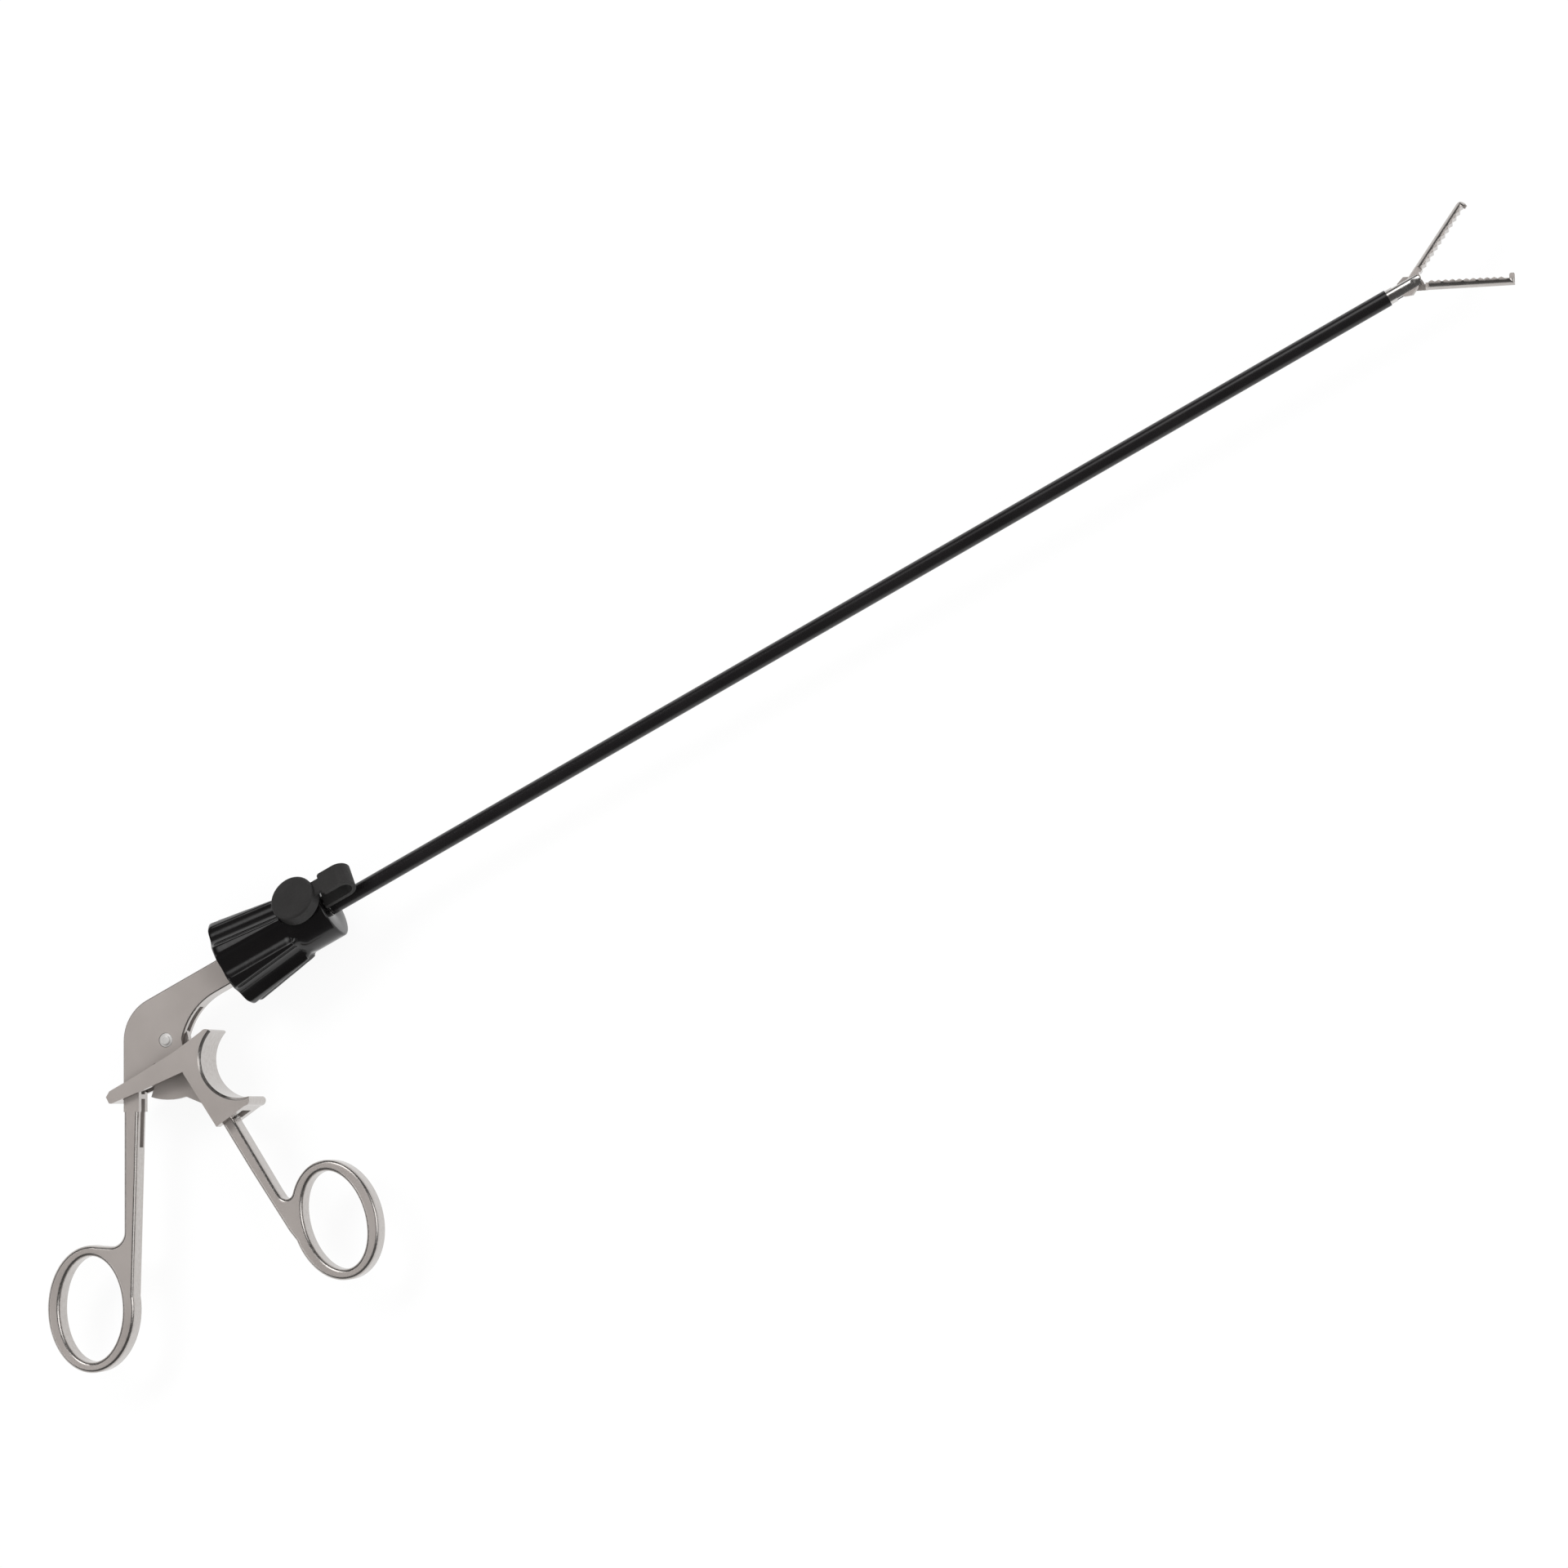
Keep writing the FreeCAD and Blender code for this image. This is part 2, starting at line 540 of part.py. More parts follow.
def rotation_knob():
    """Black fluted knob: a cone with wide hollow flutes, then a plain round nose."""
    cone = Part.makeCone(KNOB_BACK_R, FLUTE_FRONT_R, FLUTE_FRONT_X - KNOB_BACK_X,
                         Vector(KNOB_BACK_X, 0, 0), X_AXIS)
    back_edge = [e for e in cone.Edges if abs(e.CenterOfMass.x - KNOB_BACK_X) < 0.01]
    cone = cone.makeFillet(RIM_ROUND, back_edge)
    slope = math.degrees(math.atan((KNOB_BACK_R - FLUTE_FRONT_R) / (FLUTE_FRONT_X - KNOB_BACK_X)))
    for k in range(FLUTES):
        flute = Part.makeCylinder(FLUTE_R, 40.0, Vector(KNOB_BACK_X - 5, 0, 0), X_AXIS)
        flute.rotate(Vector(KNOB_BACK_X, 0, 0), Y_AXIS, slope)
        flute.translate(Vector(0, 0, KNOB_BACK_R + FLUTE_R - FLUTE_DEPTH))
        flute.rotate(Vector(0, 0, 0), X_AXIS, FLUTE_PHASE_DEG + k * 360.0 / FLUTES)
        cone = cone.cut(flute)
    step = Part.makeCone(FLUTE_FRONT_R - 0.3, NOSE_R, NOSE_BACK_X - FLUTE_FRONT_X,
                         Vector(FLUTE_FRONT_X, 0, 0), X_AXIS)
    nose = bar_x(NOSE_R, NOSE_BACK_X, NOSE_FRONT_X)
    nose = nose.makeFillet(0.8, [e for e in nose.Edges if abs(e.CenterOfMass.x - NOSE_FRONT_X) < 0.01])
    knob = cone.fuse(step).fuse(nose)
    knob = knob.cut(bar_x(CORE_R, KNOB_BACK_X, CORE_FRONT_X))
    knob = knob.cut(bar_x(SHAFT_R, CORE_FRONT_X, NOSE_FRONT_X))
    flat = Part.makeCylinder(4.2, 3.0, Vector(PORT_X, 0, PORT_SEAT_R), Z_AXIS)
    bore = Part.makeCylinder(2.6, 20.0, Vector(PORT_X, 0, 0), Z_AXIS)
    foot = Part.makeCylinder(1.1, 1.6, Vector(-1.6, 0, 5.4), X_AXIS)
    # The flutes' front ends give way to the cap
    room = Part.makeCylinder(CAP_R + 0.3, 8.0, Vector(PORT_X, 0, CAP_BASE_R - 0.2), Z_AXIS)
    return knob.cut(tilt(flat)).cut(tilt(bore)).cut(tilt(foot)).cut(tilt(room))


def tilt(shape):
    """Turns a shape drawn with its port towards +Z to the port's real direction."""
    copy = shape.copy()
    copy.rotate(Vector(0, 0, 0), X_AXIS, -PORT_TILT_DEG)
    return copy


def port_bar(radius, r0, r1):
    """A round bar on the flush port's axis between two distances from the shaft's axis."""
    return tilt(Part.makeCylinder(radius, r1 - r0, Vector(PORT_X, 0, r0), Z_AXIS))


def flush_port():
    """Luer fitting screwed into the core, reaching the space round the drive rod."""
    port = port_bar(2.0, TUBE_OUTER_R + 0.05, CORE_R)
    port = port.fuse(port_bar(2.6, CORE_R, PORT_SEAT_R))
    port = port.fuse(port_bar(3.6, PORT_SEAT_R, PORT_SEAT_R + 0.6))
    port = port.fuse(port_bar(2.7, PORT_SEAT_R + 0.6, PORT_SEAT_R + 3.8))
    return port.cut(port_bar(1.0, TUBE_OUTER_R, PORT_SEAT_R + 2.0)).cut(
        port_bar(1.7, PORT_SEAT_R + 1.2, PORT_SEAT_R + 3.8))


def port_cap():
    """Soft cap over the port."""
    cap = Part.makeCylinder(CAP_R, CAP_TOP_R - CAP_BASE_R, Vector(PORT_X, 0, CAP_BASE_R), Z_AXIS)
    cap = cap.makeFillet(0.9, [e for e in cap.Edges if abs(e.CenterOfMass.z - CAP_TOP_R) < 0.01])
    cap = cap.cut(Part.makeCylinder(3.65, 0.6, Vector(PORT_X, 0, CAP_BASE_R - 0.1), Z_AXIS))
    cap = cap.cut(Part.makeCylinder(2.72, 3.2, Vector(PORT_X, 0, CAP_BASE_R), Z_AXIS))
    return tilt(cap)


def cap_strap():
    """Flat strap: a narrow neck off the cap, a wide fold in front, and a foot in the knob's nose."""
    half = STRAP_WIDTH / 2
    neck_half = STRAP_NECK / 2
    top_r = CAP_BASE_R + 2.5
    low_r = 6.0
    thick = STRAP_THICK
    middle_r = (top_r + low_r) / 2
    fold_r = (top_r - low_r) / 2
    outer = Part.makeCylinder(fold_r + thick / 2, STRAP_WIDTH, Vector(STRAP_FOLD_X, -half, middle_r), Y_AXIS)
    inner = Part.makeCylinder(fold_r - thick / 2, STRAP_WIDTH, Vector(STRAP_FOLD_X, -half, middle_r), Y_AXIS)
    fold = outer.cut(inner).common(box(STRAP_FOLD_X, STRAP_FOLD_X + 10, -10, 10, 0, 30))
    upper = box(STRAP_WIDE_X, STRAP_FOLD_X, -half, half, top_r - thick / 2, top_r + thick / 2)
    neck = box(PORT_X, STRAP_WIDE_X + 1, -neck_half, neck_half, top_r - thick / 2, top_r + thick / 2)
    upper = upper.fuse(neck)
    lower = box(0.25, STRAP_FOLD_X, -half, half, low_r - thick / 2, low_r + thick / 2)
    upright = [e for e in upper.removeSplitter().Edges
               if e.BoundBox.ZLength > 0.5 and e.CenterOfMass.x < STRAP_WIDE_X + 0.1]
    shoulders = [e for e in upright if abs(e.CenterOfMass.y) > neck_half + 0.1]
    upper = upper.removeSplitter().makeFillet(0.9, shoulders)
    cap = Part.makeCylinder(CAP_R + 0.01, 8, Vector(PORT_X, 0, 8), Z_AXIS)
    foot = Part.makeCylinder(1.1, 1.8, Vector(-1.5, 0, 5.4), X_AXIS)
    return tilt(fold.fuse(upper.cut(cap)).fuse(lower).fuse(foot))


def lever_spring():
    """Leaf on the front of the shank that pushes the lever forward, to its released place."""
    x0 = SPRING_SEAT_X
    t = SPRING_THICK
    top = (-54.25, -39.1)
    low = SPRING_SCREW_Y - SPRING_HEAD_R - 0.2
    bend = SPRING_SCREW_Y + SPRING_HEAD_R + 0.1
    leaf = slab([(x0, low), (x0 + t, low), (x0 + t, bend), (top[0] + t, top[1] - 0.2),
                 (top[0] + t, top[1]), (top[0], top[1]), (x0, bend + 0.2)], -2.4, 2.4)
    return leaf.cut(spring_bolt(0.72, -58.0, -56.0))


def lever_spring_screw():
    """Screw that holds the leaf to the shank."""
    shaft = spring_bolt(0.7, -60.3, SPRING_SEAT_X + SPRING_THICK)
    head = spring_bolt(SPRING_HEAD_R, SPRING_SEAT_X + SPRING_THICK, SPRING_SEAT_X + SPRING_THICK + 0.55)
    slot = box(-56.5, -56.0, SPRING_SCREW_Y - 0.15, SPRING_SCREW_Y + 0.15, -2, 2)
    return shaft.fuse(head).cut(slot)


def shaft_tube():
    """Long steel tube, held in the core behind and welded to the clevis in front."""
    tube = bar_x(TUBE_OUTER_R, TUBE_BACK_X, CLEVIS_BACK_X)
    tube = tube.cut(bar_x(TUBE_INNER_R, TUBE_BACK_X, CLEVIS_BACK_X))
    return tube.cut(port_bar(0.8, 0.5, SHAFT_R + 1))


def insulation_sleeve():
    """Black insulation over the tube."""
    return bar_x(SHAFT_R, SLEEVE_BACK_X, SLEEVE_END_X).cut(
        bar_x(TUBE_OUTER_R, SLEEVE_BACK_X, SLEEVE_END_X))


def clevis():
    """Fork at the tip: a stem inside the insulation and one arm each side of the jaws."""
    stem = bar_x(TUBE_OUTER_R, CLEVIS_BACK_X, SLEEVE_END_X)
    barrel = bar_x(TIP_R, SLEEVE_END_X, JAW_PIVOT_X + 2.3)
    ends = box(JAW_PIVOT_X, JAW_PIVOT_X + 4, -3, 3, -3, 3).cut(disc(JAW_PIVOT, 2.3, -3, 3))
    fork = stem.fuse(barrel).cut(ends)
    fork = fork.cut(bar_x(ROD_R + 0.15, CLEVIS_BACK_X, SLEEVE_END_X))
    fork = fork.cut(bar_x(1.78, CLEVIS_BACK_X + 4, JAW_PIVOT_X - 5.0))
    fork = fork.cut(box(JAW_PIVOT_X - 6.2, JAW_PIVOT_X + 4, -3, 3, -ARM_IN, ARM_IN))
    return fork.cut(disc(JAW_PIVOT, STUD_R, -3, 3))


def jaw_pivots():
    """One short pivot in each arm, so that the cam plate can pass between them."""
    near = disc(JAW_PIVOT, STUD_R, TAIL_IN + 0.02, TIP_R - 0.02)
    far = disc(JAW_PIVOT, STUD_R, -TIP_R + 0.02, -TAIL_IN - 0.02)
    return Part.makeCompound([near, far])


def jaw_tail():
    """A jaw's hub plate, drawn closed on the near side, with the peg that the cam plate drives."""
    top = 2.25
    points = [(4.2, 0.3), (4.2, top), (-3.0, top), (-4.7, 1.1), (-4.8, -0.15), (-2.9, -2.3),
              (0.8, -2.3), (2.5, -1.1), (3.3, 0.3)]
    tail = slab(points, TAIL_IN, TAIL_OUT)
    peg = Part.makeCylinder(DRIVE_PEG_R, TAIL_IN - 0.2 + 0.3, drive_peg(1.0, 0.2), Z_AXIS)
    tail = tail.fuse(peg).common(bar_x(TIP_R, -10, 10))
    return tail.cut(Part.makeCylinder(STUD_R + FIT, 4, Vector(0, 0, 0), Z_AXIS))


def drive_peg(closed, z):
    """The upper jaw's peg about the jaw pivot, from 0 open to 1 closed."""
    lean = math.radians(-JAW_OPEN_DEG / 2 + JAW_OPEN_DEG * closed)
    return Vector(-DRIVE_ARM * math.cos(lean), DRIVE_ARM * math.sin(lean), z)


def bite(shift, top_y):
    """Side view of everything above a saw-tooth bite line, teeth moved by shift."""
    points = [(3.6, top_y), (3.6, shift)]
    x = 4.4
    while x < BITE_END:
        points += [(x, shift), (x + 0.9, TOOTH_RISE + shift), (x + 1.1, TOOTH_RISE + shift)]
        x += TOOTH_STEP
    points += [(x, shift), (40.0, shift), (40.0, top_y)]
    return points


def blade(profile, length):
    """A jaw's blade: a tapered half-round bar cut to a side view, with a round nose and a narrow hub end."""
    cone = Part.makeCone(TIP_R - 0.02, BLADE_END_R, length, Vector(0, 0, 0), X_AXIS)
    body = slab(profile, -TIP_R, TIP_R).common(cone)
    middle = Vector(length - BLADE_END_R, 0, 0)
    nose = disc(middle, BLADE_END_R, -TIP_R, TIP_R)
    nose.rotate(middle, X_AXIS, 90)
    hub = box(0, BLADE_HUB_LENGTH, -TIP_R, TIP_R, -TAIL_OUT, TAIL_OUT)
    keep = nose.fuse(box(BLADE_HUB_LENGTH, middle.x, -TIP_R, TIP_R, -TIP_R, TIP_R)).fuse(hub)
    return body.common(keep)


def place_jaw(jaw, degrees):
    jaw.translate(JAW_PIVOT)
    return turn(jaw, JAW_PIVOT, degrees)


def upper_jaw():
    """Upper toothed jaw, with a hook at its tip, shown open."""
    jaw = blade(bite(0.03 - TOOTH_RISE / 2, 3.0), UPPER_LENGTH)
    hook = slab([(UPPER_LENGTH - 1.5, 0.6), (UPPER_LENGTH - 1.35, -0.85), (UPPER_LENGTH - 0.3, -0.85),
                 (UPPER_LENGTH - 0.1, 0.6)], -0.5, 0.5)
    # Rounded back of the tip
    end = UPPER_LENGTH
    corner = slab([(end - 2.0, 2.4), (end - 2.0, 2.1), (end - 1.0, 1.8), (end - 0.35, 1.2), (end, 0.4),
                   (end + 1, 0.4), (end + 1, 2.4)], -3, 3)
    return place_jaw(jaw.cut(corner).fuse(hook).fuse(jaw_tail()), JAW_OPEN_DEG)


def lower_jaw():
    """Lower toothed jaw, with an upright end tooth that closes in front of the hook."""
    upper_bite = slab(bite(-0.03 - TOOTH_RISE / 2, 3.0), -3, 3)
    jaw = blade([(3.6, -3.0), (40.0, -3.0), (40.0, 1.0), (3.6, 1.0)], JAW_LENGTH).cut(upper_bite)
    back = JAW_LENGTH - 1.6
    front = JAW_LENGTH - 0.05
    tooth_end = slab([(back, -1.2), (back, 1.2), (back + 0.4, 1.5), (front - 0.2, 1.5), (front, 1.1),
                      (front, -1.2)], -0.7, 0.7)
    recess = box(UPPER_LENGTH - 1.7, back, -1.1, 2.0, -0.65, 0.65)
    tail = jaw_tail()
    tail.rotate(Vector(0, 0, 0), X_AXIS, 180)
    return place_jaw(jaw.cut(recess).fuse(tooth_end).fuse(tail), -JAW_OPEN_DEG)


def track(side):
    """The groove in one face of the cam plate that a jaw's peg follows."""
    path = []
    for k in range(TRACK_STEPS + 1):
        closed = k / TRACK_STEPS
        peg = drive_peg(closed, 0)
        path.append(Vector(peg.x - STROKE * closed, peg.y * side, 0))
    left = []
    right = []
    for k, point in enumerate(path):
        ahead = path[min(k + 1, TRACK_STEPS)] - path[max(k - 1, 0)]
        ahead.normalize()
        across = Vector(-ahead.y, ahead.x, 0) * CAM_TRACK_HALF
        left.append(point + across)
        right.append(point - across)
    z0 = CAM_FLOOR_HALF if side > 0 else -CAM_HALF - 1
    z1 = CAM_HALF + 1 if side > 0 else -CAM_FLOOR_HALF
    groove = slab([(p.x, p.y) for p in left + right[::-1]], z0, z1)
    for end in (path[0], path[-1]):
        groove = groove.fuse(disc(end, CAM_TRACK_HALF, z0, z1))
    groove.translate(JAW_PIVOT)
    return groove


def cam_plate():
    """Flat plate on the drive rod; its two crossed grooves swing the jaws."""
    front = drive_peg(0, 0).x + CAM_TRACK_HALF + 0.4
    back = drive_peg(1, 0).x - STROKE - CAM_TRACK_HALF - 0.45
    plate = box(JAW_PIVOT_X + back, JAW_PIVOT_X + front, -1.6, 1.6, -CAM_HALF, CAM_HALF)
    tang = box(ROD_FRONT_X - 2.6, JAW_PIVOT_X + back, -0.6, 0.6, -0.28, 0.28)
    plate = plate.fuse(tang).cut(track(1)).cut(track(-1))
    return plate.cut(disc(Vector(ROD_FRONT_X - 1.3, 0, 0), 0.32, -3, 3))


def cam_rivet():
    """Rivet through the rod's fork and the cam plate's tang."""
    rivet = disc(Vector(ROD_FRONT_X - 1.3, 0, 0), 0.32, -3, 3)
    return rivet.common(bar_x(ROD_R, ROD_FRONT_X - 3, ROD_FRONT_X))


def drive_rod():
    """Steel rod that runs from the handle to the cam plate."""
    rod = bar_x(ROD_R, BALL_X + 1.0, ROD_FRONT_X)
    rod = rod.cut(box(ROD_FRONT_X - 2.7, ROD_FRONT_X, -2, 2, -0.28, 0.28))
    # Flats at the fork's end, which passes between the jaws' tails
    rod = rod.cut(box(ROD_FRONT_X - 0.9, ROD_FRONT_X, -2, 2, 0.55, 2))
    rod = rod.cut(box(ROD_FRONT_X - 0.9, ROD_FRONT_X, -2, 2, -2, -0.55))
    return rod.cut(disc(Vector(ROD_FRONT_X - 1.3, 0, 0), 0.32, -3, 3))


def ball_end():
    """Ball on the back of the rod, caught in the front handle's horn."""
    ball = Part.makeSphere(BALL_R, Vector(BALL_X, 0, 0))
    ball = ball.cut(box(BALL_X - 3, BALL_X - 1.7, -3, 3, -3, 3))
    return ball.cut(bar_x(ROD_R, BALL_X + 1.0, BALL_X + 3))


PIECES = (
    rear_handle, front_handle, pivot_screw, pivot_nut, ratchet_lever, lever_pin, lever_spring,
    lever_spring_screw, neck_spigot, spigot_pin, neck_seal, rod_seal, knob_core, core_screws,
    knob_ring_nut, friction_washer, rotation_knob, flush_port, port_cap, cap_strap, shaft_tube,
    insulation_sleeve, clevis, jaw_pivots, upper_jaw, lower_jaw, cam_plate, cam_rivet, drive_rod,
    ball_end,
)

if __name__ == "__main__":
    os.makedirs("parts", exist_ok=True)
    for piece in PIECES:
        save(piece.__name__, piece())
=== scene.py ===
import json
import math

import bmesh
import bpy
from mathutils import Matrix, Vector


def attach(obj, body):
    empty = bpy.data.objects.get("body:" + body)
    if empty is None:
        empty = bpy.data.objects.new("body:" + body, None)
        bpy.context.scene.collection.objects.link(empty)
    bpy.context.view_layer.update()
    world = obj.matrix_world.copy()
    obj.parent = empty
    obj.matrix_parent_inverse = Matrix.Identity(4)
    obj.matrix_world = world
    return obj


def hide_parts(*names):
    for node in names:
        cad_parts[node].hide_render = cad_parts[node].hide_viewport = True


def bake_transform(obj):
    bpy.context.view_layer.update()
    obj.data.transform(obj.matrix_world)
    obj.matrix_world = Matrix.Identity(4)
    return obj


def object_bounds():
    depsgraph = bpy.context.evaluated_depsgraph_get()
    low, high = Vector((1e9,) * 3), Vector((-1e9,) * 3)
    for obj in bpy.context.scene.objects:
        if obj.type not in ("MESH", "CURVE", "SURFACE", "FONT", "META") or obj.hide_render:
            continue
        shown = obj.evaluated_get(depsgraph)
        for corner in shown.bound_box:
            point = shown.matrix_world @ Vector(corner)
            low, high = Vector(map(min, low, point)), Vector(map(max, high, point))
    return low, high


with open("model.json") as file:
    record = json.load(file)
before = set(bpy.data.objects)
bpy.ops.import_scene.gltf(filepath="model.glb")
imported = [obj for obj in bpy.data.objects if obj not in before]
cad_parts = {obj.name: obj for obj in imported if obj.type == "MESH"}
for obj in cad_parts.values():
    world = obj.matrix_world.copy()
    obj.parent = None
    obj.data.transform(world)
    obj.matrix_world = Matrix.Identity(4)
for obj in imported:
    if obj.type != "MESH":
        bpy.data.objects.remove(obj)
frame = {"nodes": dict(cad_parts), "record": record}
CAD_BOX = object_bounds()
MM = 0.001

# Knob, in millimetres along and out from the shaft's axis
SHAFT_R = 2.5
CORE_R = 6.2
CORE_FRONT_X = -2.0
KNOB_BACK_X = -36.5
KNOB_BACK_R = 15.0
BACK_FACE_R = 9.0
FLUTE_START_R = 11.0
RIM_ROUND = 1.8
FLUTES = 8
FLUTE_R = 5.5
FLUTE_DEPTH = 2.2
FLUTE_PHASE_DEG = 10.5
FLUTE_SOFTNESS = 1.5
FLUTE_FRONT_X = -13.5
FLUTE_FRONT_R = 11.4
FLUTE_END_ROUND = 0.5
CONE_ROWS = 24
NOSE_BACK_X = -12.0
NOSE_FRONT_X = -0.15
NOSE_R = 9.7
NOSE_ROUND = 0.8
NOSE_ROWS = 5
NOSE_ROW_STEP = 2.0
MOUTH_WIDER = 1.2
MOUTH_DEPTH = 0.3
KNOB_SIDES = 240
KNOB_CREASE_DEG = 38.0
KNOB_WELD = 0.000003

# Port and cap, with the radii and lowest points of the rooms cut for them
PORT_X = -6.5
PORT_TILT_DEG = 25.0
PORT_AXIS = Matrix.Rotation(-math.radians(PORT_TILT_DEG), 3, "X") @ Vector((0.0, 0.0, 1.0))
CAP_ROOM_R = 7.6
CAP_ROOM_BASE = 9.7
FITTING_ROOM_R = 2.65
FITTING_ROOM_BASE = 1.0
SEAT_ROOM_R = 4.2
SEAT_ROOM_BASE = 9.2
ROOM_TOP = 18.0

# Pieces that bend between two bodies: the bodies, and where the bend starts and ends
STRAP_FOOT_R = 6.65
STRAP_NECK_R = 11.75
SPRING_BEND = Vector((-57.0, -40.6, 0.0))
SPRING_TIP = Vector((-54.25, -39.1, 0.0))
BENDS = {
    "cap_strap": ("rotating_shaft", "cap", PORT_AXIS * STRAP_FOOT_R * MM, PORT_AXIS * STRAP_NECK_R * MM),
    "lever_spring": ("finger_handle", "lever", SPRING_BEND * MM, SPRING_TIP * MM),
}

# Softened edges of the pieces that keep their CAD shape: width in millimetres
DRESSED = {
    "rear_handle": 0.25,
    "front_handle": 0.25,
    "ratchet_lever": 0.70,
    "pivot_screw": 0.30,
    "pivot_nut": 0.0,
    "lever_pin": 0.0,
    "lever_spring": 0.0,
    "lever_spring_screw": 0.0,
    "neck_spigot": 0.0,
    "port_cap": 0.0,
    "cap_strap": 0.15,
    "insulation_sleeve": 0.0,
    "clevis": 0.08,
    "upper_jaw": 0.06,
    "lower_jaw": 0.06,
    "ball_end": 0.0,
    "drive_rod": 0.0,
    "cam_plate": 0.0,
}
CREASE_DEG = 32.0
EDGE_SEGMENTS = 3
CAD_WELD = 0.000002
FLAT_DEG = 0.5

# Camera, in metres, turned as the photograph was taken
CAMERA_AT = Vector((0.3254, -0.2444, 1.1200))
CAMERA_RIGHT = Vector((0.8579, -0.4617, -0.2255))
CAMERA_UP = Vector((0.4888, 0.8686, 0.0813))
CAMERA_LENS = 88.03
CAMERA_SENSOR = 36.0

# Floor: half its width, its middle, how far it lies under the part, and its share of plain white
FLOOR_HALF = 3.0
FLOOR_X = 0.2
FLOOR_GAP = 0.0002
FLOOR_GLOW = 0.90
FLOOR_MATT = (0.9, 0.9, 0.9, 1)
FLOOR_WHITE = (1, 1, 1, 1)

# Lamps: place, point aimed at, size and power
LAMPS = {
    "key": ((-0.25, 0.75, 0.95), (0.1, 0.0, 0.0), (0.9, 0.35), 9.0),
    "fill": ((0.9, -0.55, 0.8), (0.1, 0.0, 0.0), (0.6, 0.4), 4.0),
}

# What matt surfaces get from all round, and what gloss sees from the floor's level up to straight above
ROOM_LIGHT = (0.8, 0.8, 0.8, 1)
CEILING = ((0.0, (1.0, 1.0, 1.0)), (0.05, (0.85, 0.85, 0.85)), (0.13, (0.20, 0.20, 0.20)),
           (0.45, (0.10, 0.10, 0.10)), (1.0, (0.09, 0.088, 0.086)))

# Bright cards that gloss sees: direction, the cosine at which each starts, and strength
CARDS = (
    ((0.25, 0.59, 0.76), 0.930, 3.0),
    ((0.74, -0.22, 0.63), 0.940, 2.2),
    ((-0.78, 0.10, 0.60), 0.950, 1.6),
)
CARD_FULL = 0.990

# The part of a noise's range that is used
GRAIN_LOW = 0.3
GRAIN_HIGH = 0.7


# Node helpers

class Tree:
    """A small hand for building a node tree in few words."""

    def __init__(self, tree):
        self.tree = tree

    def add(self, kind, **values):
        node = self.tree.nodes.new(kind)
        for name, value in values.items():
            setattr(node, name, value)
        return node

    def join(self, source, target):
        self.tree.links.new(source, target)

    def feed(self, socket, value):
        """Links a socket, or sets a plain value."""
        if isinstance(value, bpy.types.NodeSocket):
            self.tree.links.new(value, socket)
        else:
            socket.default_value = value

    def math(self, operation, a, b=None, c=None):
        node = self.add("ShaderNodeMath", operation=operation)
        for k, value in enumerate((a, b, c)):
            if value is not None:
                self.feed(node.inputs[k], value)
        return node.outputs[0]

    def parts(self, vector):
        """The three parts of a vector."""
        split = self.add("ShaderNodeSeparateXYZ")
        self.join(vector, split.inputs[0])
        return split.outputs

    def spread(self, value, low, high, to_low, to_high):
        """Maps a value from one range to another, held at the ends."""
        node = self.add("ShaderNodeMapRange")
        for k, v in enumerate((value, low, high, to_low, to_high)):
            self.feed(node.inputs[k], v)
        return node.outputs[0]

    def blend(self, factor, a, b):
        """A colour between two others."""
        mix = self.add("ShaderNodeMix", data_type="RGBA")
        self.feed(mix.inputs[0], factor)
        self.feed(mix.inputs[6], a)
        self.feed(mix.inputs[7], b)
        return mix.outputs[2]


class Finish(Tree):
    """A material's tree round one Principled shader."""

    def __init__(self, name, **sockets):
        self.material = bpy.data.materials.new(name)
        self.material.use_nodes = True
        super().__init__(self.material.node_tree)
        self.shader = self.tree.nodes["Principled BSDF"]
        self.place = self.add("ShaderNodeTexCoord").outputs["Object"]
        for socket, value in sockets.items():
            self.shader.inputs[socket].default_value = value

    def grain(self, scale, stretch=(1, 1, 1), detail=3.0):
        """Noise on the piece, drawn out along an axis where stretch is small."""
        mapping = self.add("ShaderNodeMapping")
        mapping.inputs["Scale"].default_value = stretch
        self.join(self.place, mapping.inputs["Vector"])
        noise = self.add("ShaderNodeTexNoise")
        noise.inputs["Scale"].default_value = scale
        noise.inputs["Detail"].default_value = detail
        noise.inputs["Roughness"].default_value = 0.55
        self.join(mapping.outputs[0], noise.inputs["Vector"])
        return noise.outputs["Fac"]

    def shades(self, factor, dark, light):
        """A colour that follows a noise between two shades."""
        ramp = self.add("ShaderNodeValToRGB")
        ends = zip(ramp.color_ramp.elements, (GRAIN_LOW, GRAIN_HIGH), (dark, light))
        for element, position, colour in ends:
            element.position = position
            element.color = (*colour, 1)
        self.join(factor, ramp.inputs[0])
        return ramp.outputs[0]

    def put(self, name, value):
        """Drives one of the shader's own inputs."""
        self.join(value, self.shader.inputs[name])

    def gloss(self, factor, low, high):
        """A roughness that follows a noise between two values."""
        return self.spread(factor, GRAIN_LOW, GRAIN_HIGH, low, high)

    def bump(self, height, strength, distance):
        node = self.add("ShaderNodeBump")
        node.inputs["Strength"].default_value = strength
        node.inputs["Distance"].default_value = distance
        self.join(height, node.inputs["Height"])
        self.put("Normal", node.outputs[0])

    def flatness(self):
        """1 on faces square to the handle's plane, 0 on its rounded edges."""
        upright = self.parts(self.add("ShaderNodeTexCoord").outputs["Normal"])[2]
        return self.spread(self.math("ABSOLUTE", upright), 0.93, 0.992, 0.0, 1.0)


# Finishes

